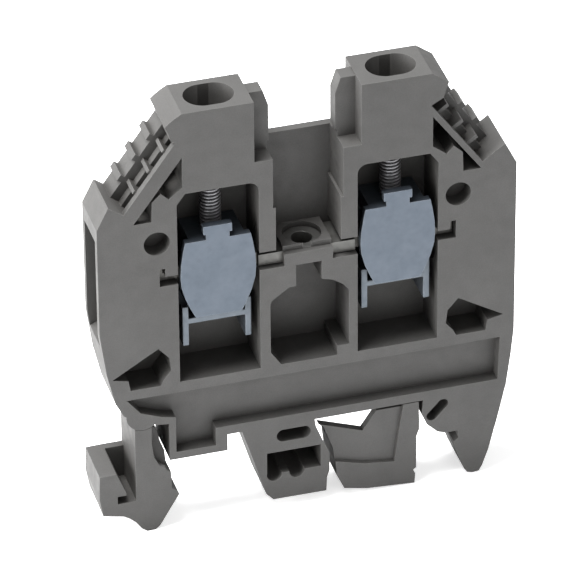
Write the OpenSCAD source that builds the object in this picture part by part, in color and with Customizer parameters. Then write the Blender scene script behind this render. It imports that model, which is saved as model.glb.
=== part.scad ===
// Feed-through terminal block with two screw clamps, for a 35 mm mounting rail.
// X runs from clamp to clamp and Y through the thickness, with the open side at -Y.
// Z = 0 is the top of the rail's flanges, and X = 0 and Y = 0 are the middle of the housing.

/* [Housing] */
// Thickness of the block, which is its pitch along the rail
pitch = 6.5; // [6.4:0.1:7.5]
// Thickness of the closed back wall
back_wall = 1; // [0.8:0.05:1.1]
// Length of the housing over its two flanks
block_length = 50; // [49.6:0.2:54]
// Height of the tower tops
tower_top = 50.2; // [50:0.2:53]
// Radius of the screwdriver holes in the tower tops
driver_hole_r = 2.3; // [2.25:0.05:2.4]
// Radius of the wire entry holes
wire_hole_r = 2; // [1.8:0.05:2.05]
// Radius of the alignment holes on the open side
socket_r = 1.55; // [1.45:0.05:1.6]
// Number of ribs in each marker channel
marker_ribs = 3; // [2:1:4]

/* [Clamps] */
// Distance from the middle of the housing to each clamp screw
clamp_x = 10.75; // [10.7:0.05:10.8]
// Outside radius of the clamp screw's thread
screw_r = 1.25; // [1.2:0.01:1.25]
// Thread pitch of the clamp screws
screw_pitch = 0.45; // [0.4:0.05:0.5]
// Height of the left yoke's top face
left_yoke_top = 32.7; // [32.2:0.1:33.6]
// Height of the right yoke's top face
right_yoke_top = 33.2; // [32.2:0.1:33.6]
// Thickness of the current bar
bar_t = 1.5; // [1.2:0.1:1.5]

/* [Rail foot] */
// Height of the notches that take the rail's 1 mm flanges
flange_t = 1.1; // [1.05:0.05:1.3]
// Lowest point of the fixed and the springy feet
foot_bottom = -6.5; // [-6.6:0.1:-6.4]

/* [Hidden] */
$fn = 48;

grey = [0.44, 0.43, 0.42];
zinc = [0.62, 0.66, 0.71];
steel = [0.5, 0.5, 0.52];
tin = [0.72, 0.72, 0.68];

open_y = -pitch / 2;              // the open side
back_y = pitch / 2;               // the outside of the back wall
floor_y = back_y - back_wall;     // the inside of the back wall
half_l = block_length / 2;
eps = 0.05;                       // overlap that makes a cut run clear of a face
run = 0.06;                       // running clearance between a turning piece and its seat

// Main levels, from the top down
shoulder_z = 42.2;                // step on the inner side of each tower
roof_z = 39.5;                    // roof of the clamp chambers
channel_z = 29.7;                 // floor of the channel between the towers
bar_top = 29;
bar_bottom = bar_top - bar_t;
chamber_z = 13.8;                 // floor of the clamp chambers
groove_top = 12.4;                // long recess under the chambers
groove_z = 6.4;
recess_depth = 1.6;
base_z = 5.2;                     // underside of the base

// Clamp chamber
chamber_in = 5.86;
chamber_out = 15.58;
wire_z = 25.2;                    // axis of the wire entry

// Inner side of each tower
tower_in = 6.35;
tower_out = 14.75;

// Marker channel: it slopes down from the tower's outer corner, and is drawn in its own axes,
// u down the slope and v outwards
marker_corner = [14.85, 44.5];
marker_slope = 54.2;
marker_wall = 0.65;               // thickness of the sloping floor
marker_top = -1.3;                // upper end
marker_length = 9.4;              // lower end
marker_first = 0.6;               // middle of the first rib
marker_span = 9;                  // shared out between the ribs
marker_rib_t = 0.45;
marker_front = 0.8;               // depth of the wall in front of the pockets
marker_step = 2.4;                // depth at which the steps begin

// Alignment holes and pins, and the tapped hole for a jumper
align_at = [17.98, 33.36];
pin_l = 1.6;
jumper_y = -0.3;
jumper_drill_r = 1.25;            // tapping drill of an M3 thread

// Clamp yoke, and the ears at its foot that carry the wire guard
yoke_h = 10.45;
ear_t = 0.5;
ear_w = 1.6;
guard_play = 0.6;                 // how far a guard can rise and fall on the ears

// Pivots that stand in for the two places where the plastic bends
latch_pivot = [-20.1, 9.9];
latch_knuckle_r = 1.25;
spring_pivot = [12.3, 4.7];
spring_knuckle_r = 0.8;
latch_pin_r = 0.6;
spring_pin_r = 0.4;
latch_cheek_t = 1.7;              // plastic in front of the latch's knuckle
spring_cheek_t = 0.9;
cheek_r = 2;                      // radius of the cheeks about the latch's pivot
seat_z = 2.95;                    // underside of the left seat block
left_marker_wall = 1.75;          // the left channel's front wall stands above its floor

// Rail, seen end on
rail_mid = 0.75;
rail_half = 17.5;
rail_left = rail_mid - rail_half;
rail_right = rail_mid + rail_half;

// An XZ outline given thickness from y0 to y1
module slab(y0, y1) {
    translate([0, y1, 0]) rotate([90, 0, 0]) linear_extrude(y1 - y0) children();
}

// A round bar along Y
module rod_y(x, z, r, y0, y1) {
    translate([x, y1, z]) rotate([90, 0, 0]) cylinder(r = r, h = y1 - y0);
}

// The same shape at both ends of the block
module both_ends() {
    children();
    mirror([1, 0, 0]) children();
}

// Points on an arc about c
function arc(c, r, from, to, steps = 6) =
    [for (i = [0:steps]) let (a = from + (to - from) * i / steps) c + r * [cos(a), sin(a)]];

// Outlines drawn in the marker channel's axes
module in_marker_axes() {
    translate(marker_corner) rotate(-marker_slope) children();
}

// ---------------------------------------------------------------- housing

// Half of the outline above the base, from the middle out to one flank
module body_half_outline(foot_side) {
    flank_low = foot_side ? [[half_l, 13.3], [half_l - 0.3, 10], [half_l - 0.9, base_z], [0, base_z]]
                          : [[half_l, 21.9], [half_l - 0.7, 16.5], [half_l - 1.65, 12.2],
                             [22.4, 10.3], [21.55, 9.7], [18.55, 8.35], [17, 8.1], [17, base_z],
                             [0, base_z]];
    beak = foot_side ? [[16.75, 48.75]] : [[15.5, 49.75], [16.2, 49.25], [16.75, 48.75]];
    polygon(concat(
        [[0, shoulder_z], [tower_in, shoulder_z], [tower_in, tower_top], [tower_out, tower_top]],
        beak,
        [[half_l - 1.3, 39], [half_l, 36.4]],
        flank_low));
}

module body_outline() {
    body_half_outline(true);
    mirror([1, 0]) body_half_outline(false);
}

// Sloping marker channel, cut through the whole thickness under the tower's beak
module marker_cut() {
    in_marker_axes()
        polygon([[marker_top, marker_wall], [-1.1, 2.3], [-1.9, 3.3], [-2.33, 4.03], [-2.4, 8],
                 [marker_length, 8], [marker_length, marker_wall]]);
}

// Where rib i stands along the channel
function rib_u(i) = marker_first + i * marker_span / marker_ribs;

// Pockets through the channel's floor, between its ribs
module marker_pockets() {
    depth = 0.4;
    slab(open_y + marker_front, open_y + marker_step)
        in_marker_axes()
            for (i = [0:marker_ribs]) {
                from = i == 0 ? marker_top : rib_u(i - 1) + marker_rib_t / 2;
                to = i == marker_ribs ? marker_length - 0.3 : rib_u(i) - marker_rib_t / 2;
                translate([from, -depth]) square([to - from, marker_wall + depth + eps]);
            }
}

// A strip of the marker channel from u0 to u1 and up to height v
module marker_strip(y0, y1, u0, u1, v) {
    slab(y0, y1) in_marker_axes()
        translate([u0, marker_wall - eps]) square([u1 - u0, v - marker_wall + eps]);
}

// What carries the marker tags: ribs, and behind them two steps and a row of teeth
module marker_bed() {
    rib_top = 2.05;
    low_step = 1.4;
    high_step = 2.6;
    tooth_top = 3.15;
    tooth_l = 0.8;
    low_y = open_y + marker_step - eps;
    high_y = open_y + 3.4;
    marker_strip(low_y, back_y, marker_top - eps, marker_length, low_step);
    marker_strip(high_y, back_y, marker_top - eps, marker_length, high_step);
    for (i = [0:marker_ribs - 1]) {
        u = rib_u(i) - marker_rib_t / 2;
        marker_strip(open_y + marker_front - eps, high_y + eps, u, u + marker_rib_t, rib_top);
        marker_strip(high_y, back_y, u, u + tooth_l, tooth_top);
    }
}

// Room for one clamp
module chamber_outline() {
    corner_r = 1.2;
    polygon(concat(
        [[chamber_out, chamber_z], [chamber_out, roof_z - 1.4], [14.55, roof_z]],
        arc([chamber_in + corner_r, roof_z - corner_r], corner_r, 90, 180),
        [[chamber_in, chamber_z]]));
}

// Bottle-shaped hollow between the two clamps, with its neck under the bar
module bottle_outline() {
    polygon([[-1.55, 27.3], [-1.55, 24.4], [-2.35, 24.4], [-4.5, 22.85], [-4.65, 22.4], [-4.65, 15.7],
             [-3.4, chamber_z], [3.4, chamber_z], [3.4, 15.1], [4.85, 15.1], [4.85, 22.7],
             [4.1, 23.6], [2.85, 24.45], [1.55, 24.8], [1.55, 27.3]]);
}

// Weight-saving pocket beside each chamber, low down
module low_pocket_outline() {
    polygon([[16.8, 17.4], [18.1, 18.9], [23.65, 15.55], [21.75, 15.1], [21.5, 13.7],
             [17.9, 13.7], [17.5, 14.5], [16.6, 15.6]]);
}

// Weight-saving hollow under the marker channel
module high_pocket_outline() {
    polygon([[14.85, 44.4], [14.85, 40.4], [16.5, 39.1], [17.4, 40], [18.45, 39], [18.55, 36.4],
             [20.7, 36.4]]);
}

// Hollow below the bar ends: a level run, then a short upright one
module bar_end_slot_outline() {
    translate([chamber_out - eps, bar_bottom - 0.1]) square([2.2, 1.3]);
    translate([17.05, bar_bottom - 0.1]) square([0.7, 2.4]);
}

// Slot and hole for one clamp screw and its driver, opening out at the tower top
module tower_bore() {
    lead_in = 3.2;
    head_top = 44;
    translate([clamp_x, 0, roof_z - eps]) cylinder(r = screw_r + run, h = 2);
    translate([clamp_x, 0, 41]) cylinder(r = driver_hole_r - 0.1, h = head_top - 41 + eps);
    translate([clamp_x, 0, head_top]) cylinder(r = driver_hole_r, h = tower_top - head_top + 1);
    for (dx = [-0.65, 0.65])
        translate([clamp_x + dx, 0, tower_top - lead_in])
            cylinder(r = driver_hole_r, h = lead_in + 1);
    translate([clamp_x - 0.65, -driver_hole_r, tower_top - lead_in])
        cube([1.3, 2 * driver_hole_r, lead_in + 1]);
}

// Funnel in the flank that leads a wire to its round entry hole
module wire_entry() {
    mouth_y = pitch / 2 - 0.9;
    throat_x = 17.9;
    slab(-mouth_y, mouth_y)
        polygon([[throat_x, wire_z - wire_hole_r], [throat_x, wire_z + wire_hole_r],
                 [half_l - 0.5, 34.3], [half_l + 1, 34.8], [half_l + 1, 19.6], [half_l - 0.5, 20]]);
    translate([chamber_out - eps, 0, wire_z]) rotate([0, 90, 0])
        cylinder(r = wire_hole_r, h = throat_x - chamber_out + 2 * eps);
}

// Fixed foot on the right, with a notch that takes the rail's flange
module fixed_foot_outline() {
    slot_r = 0.68;
    slot_side = slot_r - 0.02;
    slot_ends = [[15, 2.75], [16.35, 4.2]];
    slot_run = slot_ends[1] - slot_ends[0];
    slot_l = norm(slot_run);
    slot_slope = atan2(slot_run.y, slot_run.x);
    difference() {
        polygon([[14, base_z + 1], [13.75, 3.3], [14.4, 1.65], [15.7, 0.35], [16.6, 0],
                 [rail_right + 0.1, 0], [rail_right + 0.1, -flange_t], [17.75, -1.6],
                 [17.87, -2.3], [19.05, -5.7], [19.45, -6.3], [20.1, foot_bottom],
                 [20.9, foot_bottom + 0.1], [21.3, -5.7], [22.05, -3.5], [23.15, 1],
                 [half_l - 0.9, base_z + 0.2]]);
        // slanting relief slot above the flange
        for (end = slot_ends) translate(end) circle(r = slot_r);
        translate(slot_ends[0]) rotate(slot_slope)
            translate([0, -slot_side]) square([slot_l, 2 * slot_side]);
    }
}

// Fixed middle foot, a tongue that reaches into the rail
module middle_foot_outline() {
    polygon([[-8.25, base_z + 0.1], [-5.35, -4.4], [-4.5, -5.3], [2, -5.35], [2.1, -3.4],
             [2.4, -2.4], [2.4, -0.1], [0.75, 4.2], [0.6, base_z + 0.1]]);
}

// Its two pockets: a slot, and below it a hollow with two lobes
module middle_foot_pockets() {
    slot_r = 0.85;
    lobe_r = 0.95;
    slot_z = 3.65;
    slot_x = [-3.2, -0.7];
    for (x = slot_x) translate([x, slot_z]) circle(r = slot_r);
    translate([slot_x[0], slot_z - slot_r]) square([slot_x[1] - slot_x[0], 2 * slot_r]);
    translate([-5.25, -1.65]) square([6.6, 3.1]);
    for (x = [-4.35, -1.6]) translate([x, -1.7]) circle(r = lobe_r);
}

// Guide rib on the inner side of a tower, half way through the thickness
module tower_guide() {
    slab(-0.75, 1.25)
        polygon([[3.95, shoulder_z - 4], [3.95, tower_top - 2.2], [4.6, tower_top - 0.2],
                 [tower_in + eps, tower_top - 0.2], [tower_in + eps, shoulder_z - 4]]);
}

// Seat for the latch's knuckle, cut a little larger than the knuckle itself
module knuckle_seat(pivot, r, cheek_t) {
    rod_y(pivot.x, pivot.y, r + run, open_y + cheek_t, floor_y);
}

module housing_solid() {
    slab(open_y, back_y) body_outline();
    slab(open_y, back_y) fixed_foot_outline();
    slab(open_y, back_y) middle_foot_outline();
    // left seat block
    slab(open_y, back_y) translate([-17, seat_z]) square([7, base_z - seat_z + 1]);
    both_ends() tower_guide();
    // cheeks that carry the latch's pivot, and a back ear for the spring foot's
    rod_y(latch_pivot.x, latch_pivot.y, cheek_r, open_y, back_y);
    slab(floor_y, back_y) translate([11.3, 3.9]) square([2, base_z - 3.9 + 0.1]);
}

module housing_cuts() {
    pocket_depth = 4;
    bar_play = 0.1;               // room around the current bar
    bridge_y = open_y + 0.65;     // back of the bridge in front of the bar
    bridge_half = 2.9;
    counterbore_r = 2.3;          // room for a jumper screw's collar
    hole_depth = 2.2;
    slab(open_y - 1, back_y + 1) both_ends_2d() marker_cut();
    both_ends() marker_pockets();
    slab(open_y - 1, floor_y) both_ends_2d() chamber_outline();
    slab(open_y - 1, floor_y) both_ends_2d() high_pocket_outline();
    slab(open_y - 1, open_y + pocket_depth) both_ends_2d() low_pocket_outline();
    slab(open_y - 1, floor_y - 1) both_ends_2d() bar_end_slot_outline();
    slab(open_y - 1, floor_y) bottle_outline();
    // channel between the towers
    slab(open_y - 1, floor_y)
        polygon([[-3.9, channel_z], [-3.9, 35.6], [-4.2, 35.6], [-4.2, shoulder_z + 1],
                 [4.2, shoulder_z + 1], [4.2, 35.6], [3.9, 35.6], [3.9, channel_z]]);
    // tunnel for the bar, taller beside the front bridge
    slab(bridge_y, floor_y)
        translate([-6, bar_bottom - bar_play]) square([12, bar_t + bar_play + eps]);
    both_ends()
        slab(open_y - 1, floor_y)
            translate([bridge_half, bar_bottom - bar_play])
                square([6 - bridge_half, bar_t + bar_play + 0.8]);
    slab(open_y - 1, bridge_y + eps)
        translate([-bridge_half - bar_play, bar_top])
            square([2 * (bridge_half + bar_play), channel_z - bar_top + eps]);
    // screw hole for a jumper
    translate([0, jumper_y, bar_top - 0.2]) cylinder(r = counterbore_r, h = channel_z - bar_top + 1);
    // alignment holes
    both_ends() rod_y(align_at.x, align_at.y, socket_r, open_y - 1, open_y + hole_depth);
    // long recess under the chambers
    slab(open_y - 1, open_y + recess_depth)
        polygon([[-22, 12.4], [-20.4, 10.3], [-17.9, 9.3], [-16.2, 8.9], [-16.2, groove_z],
                 [23.1, groove_z], [23.3, groove_top]]);
    // hollow in the left seat block, open to the long recess
    slab(open_y - 1, open_y + recess_depth)
        translate([-16.2, seat_z + 1]) square([4.8, groove_z - seat_z - 1 + eps]);
    slab(open_y - 1, floor_y) middle_foot_pockets();
    both_ends() tower_bore();
    both_ends() wire_entry();
    knuckle_seat(latch_pivot, latch_knuckle_r, latch_cheek_t);
    knuckle_seat(spring_pivot, spring_knuckle_r, spring_cheek_t);
    // room for the latch's neck below its knuckle
    slab(open_y + latch_cheek_t, floor_y)
        translate([latch_pivot.x - 1.45, latch_pivot.y - cheek_r - 0.5]) square([3, cheek_r + 0.5]);
}

module both_ends_2d() {
    children();
    mirror([1, 0]) children();
}

module housing() color(grey) {
    difference() {
        housing_solid();
        housing_cuts();
    }
    both_ends() marker_bed();
    // raised front wall of the left marker channel
    mirror([1, 0, 0])
        marker_strip(open_y, open_y + marker_front, marker_top - eps, marker_length + eps,
                     left_marker_wall);
    // alignment pins on the back
    both_ends() rod_y(align_at.x, align_at.y, socket_r - 0.05, back_y - 0.2, back_y + pin_l);
    // pivot pins, from cheek to cheek
    rod_y(latch_pivot.x, latch_pivot.y, latch_pin_r, open_y + latch_cheek_t - 0.1, back_y - 0.1);
    rod_y(spring_pivot.x, spring_pivot.y, spring_pin_r, open_y + spring_cheek_t, back_y - 0.1);
}

// ---------------------------------------------------------------- feet that flex

// Leg with the hook that catches the left flange, and its release lever
module latch_foot() color(grey) {
    knuckle_y = open_y + latch_cheek_t + run;
    fin_back = 1.5;
    difference() {
        union() {
            difference() {
                slab(open_y, back_y)
                    polygon([[-21.15, 9], [-19.1, 9], [-19.15, 5.7], [-18.9, 3.8], [-18.35, 2.55],
                             [-17.4, 1.6], [-16.9, 1.3], [-16.85, 0.1],
                             [rail_left - 0.1, 0.05], [rail_left - 0.1, -flange_t],
                             [-16.2, -1.5], [-15.95, -2.1], [-16.8, -3.5], [-17.9, -5.4], [-18.4, -6.2],
                             [-18.9, -6.6], [-19.9, -6.65], [-20.6, -6.1], [-21.2, -5.2],
                             [-21.95, -4.45], [-22.75, -3.95], [-25.2, -3.4], [-25.6, -1],
                             [-25.5, 2.2], [-23.75, 2.25], [-21.15, 2.25]]);
                rod_y(latch_pivot.x, latch_pivot.y, cheek_r + run, open_y - 1, back_y + 1);
            }
            // thinner fin beside the leg, set back from its front
            slab(open_y + fin_back, back_y)
                polygon([[-19.3, 7], [-18.4, 7], [-18.15, 6.6], [-17.8, 5], [-17.25, 3.4],
                         [-17.1, 1.4], [-19.3, 1.4]]);
            // neck and knuckle between the cheeks
            slab(knuckle_y, floor_y - run) translate([-21.05, 7.5]) square([1.9, 2]);
            rod_y(latch_pivot.x, latch_pivot.y, latch_knuckle_r, knuckle_y, floor_y - run);
        }
        // pocket for a screwdriver blade, open at the top
        slab(open_y - 1, floor_y)
            polygon([[-23.75, 3], [-22.4, -0.5], [-22.3, -1], [-23.4, -1], [-23.4, -2.05],
                     [-21.15, -2.05], [-21.15, 3]]);
        rod_y(latch_pivot.x, latch_pivot.y, latch_pin_r + run, open_y, back_y + 1);
    }
}

// Springy middle leg that presses on the floor of the rail
module spring_foot() color(grey) difference() {
    web_y = open_y + 0.45;
    web_t = 1;
    leg_top = base_z - 0.12;
    union() {
        // thin web, just behind the front
        slab(web_y, web_y + web_t)
            polygon([[1.2, 4.05], [6.6, 2.05], [8.3, 4.6], [12.3, 4.6], [12.9, -4.3], [12.9, -6.3],
                     [4.2, -5.5], [3.3, -3.5], [3.25, -2.2], [2.95, 0.4], [1.8, 3.6]]);
        // stiffener behind the web's left edge
        slab(web_y, floor_y - run)
            polygon([[2.95, 0.4], [3.45, 0.4], [3.75, -2.2], [3.25, -2.2]]);
        // L-shaped rim of full depth
        slab(open_y, floor_y - run)
            polygon([[11.5, leg_top], [10.95, 1.4], [10.4, -2.9], [6.6, -2.4], [3.15, -1.4],
                     [3.25, -2.2], [3.3, -3.5], [4.2, -5.5], [7, -6.1], [12.9, foot_bottom],
                     [13, -5.2], [12.7, -4.6], [13.1, -4.3], [13.1, 0.2], [13.45, 1.2],
                     [13.45, 2.5], [13.35, leg_top]]);
        rod_y(spring_pivot.x, spring_pivot.y, spring_knuckle_r, open_y + spring_cheek_t + run,
              floor_y - run);
    }
    rod_y(spring_pivot.x, spring_pivot.y, spring_pin_r + run, open_y + spring_cheek_t, back_y + 1);
}

// ---------------------------------------------------------------- metal parts

// Tinned bar that joins the two clamps, with a tapped hole for a jumper screw
module current_bar() color(tin) difference() {
    union() {
        translate([-5.8, open_y + 0.75, bar_bottom])
            cube([11.6, floor_y - open_y - 0.95, bar_t]);
        translate([-15.5, -1.9, bar_bottom]) cube([31, 2.9, bar_t]);
        both_ends() {
            translate([15.4, open_y + 1.1, bar_bottom]) cube([2.2, 2.6, 1]);
            translate([17.1, open_y + 1.1, bar_bottom]) cube([0.5, 2.6, 2.1]);
        }
    }
    translate([0, jumper_y, bar_bottom - 1]) cylinder(r = jumper_drill_r, h = bar_t + 2);
}

// Outline of the yoke's front plate about the clamp's axis, hanging down from z = 0
module yoke_front_outline() {
    side = [[3.9, 0], [4.15, -1.2], [4.42, -3], [4.5, -4.6], [4.4, -6], [3.95, -7.7], [3.3, -9.3],
            [2.75, -yoke_h]];
    polygon(concat(side, [for (i = [len(side) - 1:-1:0]) [-side[i].x, side[i].y]]));
    translate([-1.4, -eps]) square([2.8, 0.8]);
    translate([-1.7, 0.7]) square([3.4, 1.1]);
}

// Closed steel loop that is drawn up against the bar, drilled for its screw
module yoke(x, top) {
    plate_t = 0.9;
    inner_y = open_y + 0.1 + plate_t;
    rear_y = floor_y - 0.1;
    block_h = 2.4;
    color(zinc) translate([x, 0, top]) difference() {
        union() {
            slab(open_y + 0.1, inner_y) yoke_front_outline();
            translate([-3.3, rear_y - 0.75, -yoke_h]) cube([6.6, 0.75, yoke_h]);
            translate([-3.3, inner_y - eps, -block_h]) cube([6.6, rear_y - inner_y, block_h]);
            translate([-2.7, inner_y - eps, -yoke_h]) cube([5.4, rear_y - inner_y, 0.9]);
            // ears that carry the wire guard
            translate([-4, -ear_w / 2, -yoke_h]) cube([8, ear_w, ear_t]);
        }
        translate([0, 0, -block_h - 1]) cylinder(r = screw_r + run, h = block_h + 2);
    }
}

// Slotted clamp screw; the tip bears on the bar, and rings stand for its thread
module clamp_screw(x) {
    head_r = driver_hole_r - 0.2;
    head_h = 2.6;
    head_z = 41.05;
    tip_z = bar_top + 0.05;
    core_r = screw_r - 0.25;
    color(steel) translate([x, 0, 0]) difference() {
        union() {
            translate([0, 0, head_z]) cylinder(r = head_r, h = head_h);
            translate([0, 0, roof_z - 0.6]) cylinder(r = screw_r, h = head_z - roof_z + 0.7);
            translate([0, 0, tip_z + 0.5]) cylinder(r = screw_r, h = 6);
            translate([0, 0, tip_z]) cylinder(r = core_r, h = roof_z - tip_z);
            for (z = [tip_z + 6.8:screw_pitch:roof_z - 0.9])
                translate([0, 0, z]) cylinder(r = screw_r, h = screw_pitch / 2);
        }
        translate([-head_r - 1, -0.4, head_z + head_h - 1.2]) cube([2 * head_r + 2, 0.8, 2]);
    }
}

// Folded sheet that hangs on the yoke's ears and bars the way under it; drop is how far it hangs
module wire_guard(x, yoke_top, drop) {
    sheet = 0.75;
    reach = 3.75;
    y0 = open_y + 1.05;
    depth_y = floor_y - 0.2 - y0;
    slot_w = ear_w + 0.3;
    color(zinc) translate([x, 0, yoke_top - yoke_h - drop]) difference() {
        union() {
            translate([-reach, y0, -sheet]) cube([2 * reach, depth_y, sheet]);
            for (side = [-1, 1])
                translate([side * reach - sheet / 2, y0, -3.7]) cube([sheet, depth_y, 5.35]);
        }
        translate([-reach - sheet, -slot_w / 2, 0])
            cube([2 * (reach + sheet), slot_w, guard_play + ear_t + 0.03]);
    }
}

module left_yoke() { yoke(-clamp_x, left_yoke_top); }
module right_yoke() { yoke(clamp_x, right_yoke_top); }
module left_screw() { clamp_screw(-clamp_x); }
module right_screw() { clamp_screw(clamp_x); }
module left_wire_guard() { wire_guard(-clamp_x, left_yoke_top, guard_play); }
module right_wire_guard() { wire_guard(clamp_x, right_yoke_top, 0.05); }

housing();
latch_foot();
spring_foot();
current_bar();
left_yoke();
right_yoke();
left_screw();
right_screw();
left_wire_guard();
right_wire_guard();
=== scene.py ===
"""Looks for a DIN rail terminal block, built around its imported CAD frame. Metres throughout."""

import math

import bmesh
import bpy
from mathutils import Matrix, Vector


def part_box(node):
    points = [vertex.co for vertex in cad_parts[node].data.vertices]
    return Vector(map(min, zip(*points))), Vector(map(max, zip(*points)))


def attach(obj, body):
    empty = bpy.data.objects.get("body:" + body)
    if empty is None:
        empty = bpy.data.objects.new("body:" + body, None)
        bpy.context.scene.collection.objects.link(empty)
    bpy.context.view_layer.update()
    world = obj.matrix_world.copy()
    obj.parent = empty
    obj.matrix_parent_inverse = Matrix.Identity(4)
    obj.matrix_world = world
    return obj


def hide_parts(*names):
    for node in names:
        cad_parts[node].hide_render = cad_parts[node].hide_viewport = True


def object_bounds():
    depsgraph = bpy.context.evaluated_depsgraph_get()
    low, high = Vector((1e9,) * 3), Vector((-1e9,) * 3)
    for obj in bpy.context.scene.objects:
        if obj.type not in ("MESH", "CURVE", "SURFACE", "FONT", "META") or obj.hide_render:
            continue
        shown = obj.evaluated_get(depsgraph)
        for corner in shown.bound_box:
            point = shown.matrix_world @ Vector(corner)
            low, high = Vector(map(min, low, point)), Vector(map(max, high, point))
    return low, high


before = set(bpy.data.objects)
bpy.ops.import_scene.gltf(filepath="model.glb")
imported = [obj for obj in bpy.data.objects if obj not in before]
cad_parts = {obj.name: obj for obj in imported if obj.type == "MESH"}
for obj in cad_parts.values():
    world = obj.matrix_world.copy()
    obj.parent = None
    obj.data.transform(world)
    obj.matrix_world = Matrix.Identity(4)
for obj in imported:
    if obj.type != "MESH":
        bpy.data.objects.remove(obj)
cad_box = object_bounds()
MM = 0.001

# Sockets of a colour mix node
MIX_INPUTS = (0, 6, 7)
MIX_RESULT = 2

# Clamp screw, in mm
THREAD_R = 1.25
CORE_R = 0.98
THREAD_PITCH = 0.45
STEPS_PER_TURN = 8
HEAD_HEIGHT = 2.6
SLOT_WIDTH = 0.8
SLOT_DEPTH = 1.2
SCREW_SIDES = 40


# ------------------------------------------------------------------ node helpers

class Shader:
    """A material's node tree, with short calls that make and join nodes."""

    def __init__(self, name):
        self.material = bpy.data.materials.new(name)
        self.material.use_nodes = True
        self.tree = self.material.node_tree
        self.tree.nodes.clear()
        self.out = self.add("ShaderNodeOutputMaterial")
        self.bsdf = self.add("ShaderNodeBsdfPrincipled")
        self.join(self.bsdf, "BSDF", self.out, "Surface")
        self.place = self.add("ShaderNodeTexCoord")

    def add(self, kind, **values):
        node = self.tree.nodes.new(kind)
        for key, value in values.items():
            if key in node.inputs:
                node.inputs[key].default_value = value
            else:
                setattr(node, key, value)
        return node

    def join(self, source, output, target, socket):
        self.tree.links.new(source.outputs[output], target.inputs[socket])

    def noise(self, scale, detail=3.0, stretch=(1, 1, 1), roughness=0.5):
        """Noise in object space; scale is in cycles per metre."""
        mapping = self.add("ShaderNodeMapping")
        mapping.inputs["Scale"].default_value = stretch
        self.join(self.place, "Object", mapping, "Vector")
        node = self.add("ShaderNodeTexNoise")
        node.inputs["Scale"].default_value = scale
        node.inputs["Detail"].default_value = detail
        node.inputs["Roughness"].default_value = roughness
        self.join(mapping, "Vector", node, "Vector")
        return node

    def ramp(self, source, output, stops):
        node = self.add("ShaderNodeValToRGB")
        elements = node.color_ramp.elements
        while len(elements) < len(stops):
            elements.new(0.5)
        for element, (position, value) in zip(elements, stops):
            element.position = position
            element.color = (*value, 1) if isinstance(value, tuple) else (value, value, value, 1)
        self.join(source, output, node, "Fac")
        return node

    def mix(self, factor, first, second, blend="MIX"):
        """Colour mix; each of the three is a node with a first output, or a value."""
        node = self.add("ShaderNodeMix", data_type="RGBA", blend_type=blend)
        for value, index in zip((factor, first, second), MIX_INPUTS):
            if hasattr(value, "outputs"):
                self.tree.links.new(value.outputs[0], node.inputs[index])
            else:
                node.inputs[index].default_value = value
        return _Output(node, MIX_RESULT)

    def bump(self, height, strength, distance, below=None):
        node = self.add("ShaderNodeBump")
        node.inputs["Strength"].default_value = strength
        node.inputs["Distance"].default_value = distance
        self.tree.links.new(height.outputs[0], node.inputs["Height"])
        if below is not None:
            self.tree.links.new(below.outputs[0], node.inputs["Normal"])
        return node

    def edge_mask(self, radius, low, high):
        """1 along sharp outer and inner edges, 0 on flats."""
        bevel = self.add("ShaderNodeBevel", samples=4)
        bevel.inputs["Radius"].default_value = radius
        geometry = self.add("ShaderNodeNewGeometry")
        dot = self.add("ShaderNodeVectorMath", operation="DOT_PRODUCT")
        self.join(bevel, "Normal", dot, 0)
        self.join(geometry, "Normal", dot, 1)
        ramp = self.add("ShaderNodeMapRange")
        ramp.inputs["From Min"].default_value = high
        ramp.inputs["From Max"].default_value = low
        self.join(dot, "Value", ramp, "Value")
        return ramp

    def painted_pocket_shade(self, distance, darkest):
        """Painted shade: white on open faces, falling to a warm grey of value darkest deep inside
        pockets, where ambient occlusion is strong.
        """
        occlusion = self.add("ShaderNodeAmbientOcclusion", samples=12)
        occlusion.inputs["Distance"].default_value = distance
        ramp = self.add("ShaderNodeMapRange")
        ramp.inputs["From Min"].default_value = 0.15
        ramp.inputs["From Max"].default_value = 0.9
        self.join(occlusion, "AO", ramp, "Value")
        return self.mix(ramp, (darkest, darkest * 0.97, darkest * 0.93, 1), (1, 1, 1, 1))


class _Output:
    """Lets a node whose useful output is not its first stand in the calls above."""

    def __init__(self, node, index):
        self.outputs = [node.outputs[index]]


def link_colour(shader, source):
    shader.tree.links.new(source.outputs[0], shader.bsdf.inputs["Base Color"])


# ------------------------------------------------------------------ materials

def moulded_plastic():
    """Matt grey polyamide with a fine spark-eroded grain, and edges rubbed a little lighter."""
    s = Shader("moulded_grey_polyamide")
    tone = s.ramp(s.noise(180, 4), "Fac", [(0.3, (0.058, 0.057, 0.0556)), (0.7, (0.067, 0.0658, 0.0641))])
    specks = s.ramp(s.noise(9000, 2), "Fac", [(0.35, 0.9), (0.65, 1.07)])
    grained = s.mix(1.0, tone, specks, "MULTIPLY")
    worn = s.mix(s.edge_mask(0.12 * MM, 0.75, 0.98), grained, (0.101, 0.0995, 0.097, 1))
    # Painted shade: the grained colour is darkened in pockets and recesses by an ambient-occlusion mask.
    link_colour(s, s.mix(1.0, worn, s.painted_pocket_shade(9 * MM, 0.55), "MULTIPLY"))
    gloss = s.ramp(s.noise(700, 3), "Fac", [(0.3, 0.5), (0.7, 0.66)])
    s.join(gloss, "Color", s.bsdf, "Roughness")
    s.bsdf.inputs["Specular IOR Level"].default_value = 0.35
    grain = s.bump(s.noise(6500, 4), 0.2, 0.02 * MM)
    ripple = s.bump(s.noise(260, 2), 0.12, 0.05 * MM, grain)
    s.join(ripple, "Normal", s.bsdf, "Normal")
    return s.material


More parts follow.
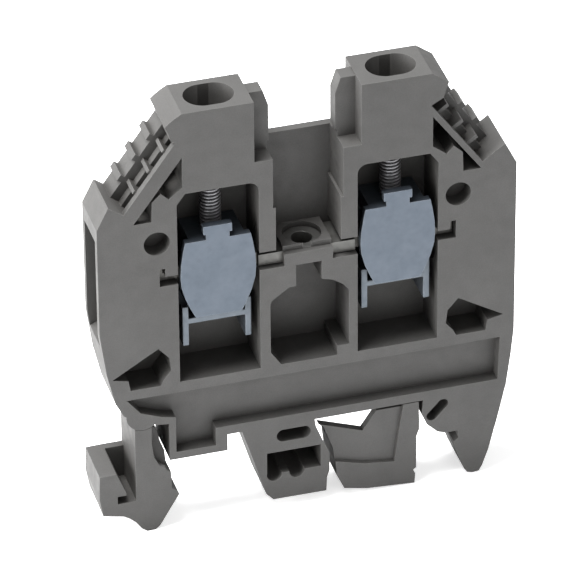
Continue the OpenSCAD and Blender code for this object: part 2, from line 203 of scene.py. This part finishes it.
def plated_sheet(name, dark, light, edge, rough=(0.4, 0.55)):
    """Plated steel: fine drawn streaks, cloudy passivation, bright rubbed edges."""
    s = Shader(name)
    tone = s.ramp(s.noise(420, 5), "Fac", [(0.3, dark), (0.7, light)])
    rubbed = s.mix(s.edge_mask(0.15 * MM, 0.7, 0.97), tone, (*edge, 1))
    # Painted shade: the plated colour is darkened in pockets and recesses by an ambient-occlusion mask.
    link_colour(s, s.mix(1.0, rubbed, s.painted_pocket_shade(5 * MM, 0.6), "MULTIPLY"))
    s.bsdf.inputs["Metallic"].default_value = 0.75
    gloss = s.ramp(s.noise(1500, 4), "Fac", [(0.3, rough[0]), (0.7, rough[1])])
    s.join(gloss, "Color", s.bsdf, "Roughness")
    streaks = s.bump(s.noise(5000, 3, (1, 1, 0.06)), 0.15, 0.01 * MM)
    pits = s.bump(s.noise(3500, 4), 0.15, 0.015 * MM, streaks)
    s.join(pits, "Normal", s.bsdf, "Normal")
    return s.material


PLASTIC = moulded_plastic()
ZINC = plated_sheet("blue_zinc_plate", (0.088, 0.106, 0.130), (0.104, 0.122, 0.148), (0.21, 0.235, 0.26))
SCREW = plated_sheet("zinc_screw_steel", (0.17, 0.17, 0.185), (0.24, 0.24, 0.255), (0.40, 0.40, 0.41))
TIN = plated_sheet("tin_plate", (0.11, 0.11, 0.106), (0.145, 0.145, 0.14), (0.20, 0.20, 0.195))
GUARD = plated_sheet("thin_zinc_sheet", (0.10, 0.118, 0.138), (0.135, 0.153, 0.175), (0.20, 0.22, 0.24))


# ------------------------------------------------------------------ CAD nodes that keep their shape

def dress(node, material, edge_mm):
    """Gives a CAD node its material and rounds its sharp edges."""
    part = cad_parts[node]
    part.data.materials.clear()
    part.data.materials.append(material)
    weld = part.modifiers.new("weld", "WELD")
    weld.merge_threshold = 0.0005 * MM
    flat = part.modifiers.new("flat", "DECIMATE")
    flat.decimate_type = "DISSOLVE"
    flat.angle_limit = math.radians(0.5)
    bevel = part.modifiers.new("edges", "BEVEL")
    bevel.width = edge_mm * MM
    bevel.segments = 2
    bevel.limit_method = "ANGLE"
    bevel.angle_limit = math.radians(35)
    bevel.use_clamp_overlap = True
    bevel.harden_normals = False
    return part


for node in ("housing", "latch_foot", "spring_foot"):
    dress(node, PLASTIC, 0.12)
dress("current_bar", TIN, 0.06)
for side in ("left", "right"):
    dress(side + "_yoke", ZINC, 0.16)
    dress(side + "_wire_guard", GUARD, 0.1)


# ------------------------------------------------------------------ clamp screws

def screw_rings(tip, top, head_r):
    """(height, radius, share of the thread) of each ring, from the tip to the head's top, in mm."""
    neck = top - HEAD_HEIGHT
    step = THREAD_PITCH / STEPS_PER_TURN
    count = int((neck - 0.5 - tip) / step)
    rings = [(tip, CORE_R - 0.3, 0.0), (tip + 0.15, CORE_R, 0.0)]
    rings += [(tip + 0.2 + i * step, CORE_R, 1.0) for i in range(count)]
    rings += [(neck - 0.25, CORE_R, 0.0), (neck, CORE_R, 0.0), (neck, head_r - 0.15, 0.0),
              (neck + 0.15, head_r, 0.0), (top - 0.2, head_r, 0.0), (top, head_r - 0.2, 0.0)]
    return rings


def thread_crest(height, turn):
    """How far up the thread's flank a point is, from 0 at the root to 1 on the crest."""
    phase = (height / THREAD_PITCH - turn) % 1.0
    return max(0.0, min(1.0, 2.4 * (1 - abs(2 * phase - 1)) - 0.5))


def cut_slot(obj, centre, head_r, top):
    """Cuts the driver slot across the head and keeps the result as the object's own mesh."""
    mesh = bpy.data.meshes.new("slot_cutter")
    bm = bmesh.new()
    bmesh.ops.create_cube(bm, size=1)
    bmesh.ops.scale(bm, vec=Vector((2 * head_r + 1, SLOT_WIDTH, 2 * SLOT_DEPTH)) * MM, verts=bm.verts)
    bmesh.ops.translate(bm, vec=(centre.x, centre.y, top), verts=bm.verts)
    bm.to_mesh(mesh)
    bm.free()
    cutter = bpy.data.objects.new("slot_cutter", mesh)
    bpy.context.scene.collection.objects.link(cutter)
    boolean = obj.modifiers.new("slot", "BOOLEAN")
    boolean.operation = "DIFFERENCE"
    boolean.object = cutter
    boolean.solver = "EXACT"
    graph = bpy.context.evaluated_depsgraph_get()
    cut = bpy.data.meshes.new_from_object(obj.evaluated_get(graph))
    obj.modifiers.clear()
    obj.data = cut
    bpy.data.objects.remove(cutter)


def clamp_screw(side):
    """Slotted cylinder-head screw with a real helical thread."""
    node = side + "_screw"
    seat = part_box(node)
    centre = (seat[0] + seat[1]) / 2
    head_r = (seat[1].x - seat[0].x) / 2 / MM
    bm = bmesh.new()
    rows = []
    for height, radius, thread in screw_rings(seat[0].z / MM, seat[1].z / MM, head_r):
        row = []
        for k in range(SCREW_SIDES):
            turn = k / SCREW_SIDES
            r = (radius + (THREAD_R - CORE_R) * thread_crest(height, turn) * thread) * MM
            angle = 2 * math.pi * turn
            row.append(bm.verts.new((centre.x + r * math.cos(angle), centre.y + r * math.sin(angle),
                                     height * MM)))
        rows.append(row)
    for low, high in zip(rows, rows[1:]):
        for k in range(SCREW_SIDES):
            j = (k + 1) % SCREW_SIDES
            bm.faces.new((low[k], low[j], high[j], high[k]))
    bm.faces.new(list(reversed(rows[0])))
    bm.faces.new(rows[-1])
    bmesh.ops.recalc_face_normals(bm, faces=bm.faces)
    mesh = bpy.data.meshes.new(node + "_visual")
    bm.to_mesh(mesh)
    bm.free()
    obj = bpy.data.objects.new(node + "_visual", mesh)
    bpy.context.scene.collection.objects.link(obj)
    cut_slot(obj, centre, head_r, seat[1].z)
    obj.data.materials.clear()
    obj.data.materials.append(SCREW)
    for face in obj.data.polygons:
        face.use_smooth = False
    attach(obj, node)
    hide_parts(node)


for side in ("left", "right"):
    clamp_screw(side)


# ------------------------------------------------------------------ stage, light and camera

def floor(z):
    size = 1.2
    mesh = bpy.data.meshes.new("floor")
    bm = bmesh.new()
    bmesh.ops.create_grid(bm, x_segments=8, y_segments=8, size=size)
    bm.to_mesh(mesh)
    bm.free()
    obj = bpy.data.objects.new("floor", mesh)
    obj.location.z = z
    bpy.context.scene.collection.objects.link(obj)
    s = Shader("pale_floor")
    tone = s.ramp(s.noise(30, 2), "Fac", [(0.3, 0.86), (0.7, 0.9)])
    s.join(tone, "Color", s.bsdf, "Base Color")
    s.bsdf.inputs["Roughness"].default_value = 0.7
    s.bsdf.inputs["Emission Color"].default_value = (1, 1, 1, 1)
    rays = s.add("ShaderNodeLightPath")
    lift = s.add("ShaderNodeMath", operation="MULTIPLY")
    lift.inputs[1].default_value = 0.6
    s.join(rays, "Is Camera Ray", lift, 0)
    s.join(lift, "Value", s.bsdf, "Emission Strength")
    mesh.materials.append(s.material)


def area_light(name, place, target, size, watts):
    data = bpy.data.lights.new(name, "AREA")
    data.shape = "DISK"
    data.size = size
    data.energy = watts
    lamp = bpy.data.objects.new(name, data)
    lamp.location = place
    lamp.rotation_mode = "QUATERNION"
    lamp.rotation_quaternion = (Vector(target) - Vector(place)).to_track_quat("-Z", "Y")
    bpy.context.scene.collection.objects.link(lamp)


def studio():
    world = bpy.data.worlds.new("studio")
    world.use_nodes = True
    sky = world.node_tree.nodes["Background"]
    sky.inputs["Color"].default_value = (1, 1, 1, 1)
    sky.inputs["Strength"].default_value = 0.5
    bpy.context.scene.world = world
    area_light("key", (-0.16, 0.02, 0.50), (0, 0, 0.02), 0.30, 7.0)
    area_light("front", (0.10, -0.45, 0.22), (0, 0, 0.02), 0.35, 0.35)
    area_light("left", (-0.45, -0.05, 0.12), (0, 0, 0.02), 0.25, 3.3)
    bpy.context.scene.view_settings.view_transform = "Standard"


def camera():
    """Long lens from the left and above."""
    azimuth, elevation, roll = math.radians(-16.06), math.radians(33.88), math.radians(0.48)
    distance = 0.673
    target = Vector((-1.58, 0, 22.05)) * MM
    back = Vector((math.sin(azimuth) * math.cos(elevation), -math.cos(azimuth) * math.cos(elevation),
                   math.sin(elevation)))
    data = bpy.data.cameras.new("camera")
    data.lens = 363.2
    data.sensor_width = 36
    data.clip_start = 0.01
    data.clip_end = 20
    obj = bpy.data.objects.new("camera", data)
    obj.location = target + back * distance
    obj.rotation_mode = "QUATERNION"
    turn = Matrix.Rotation(-roll, 4, "Z").to_quaternion()
    obj.rotation_quaternion = (-back).to_track_quat("-Z", "Y") @ turn
    bpy.context.scene.collection.objects.link(obj)
    bpy.context.scene.camera = obj


floor(cad_box[0].z)
studio()
camera()
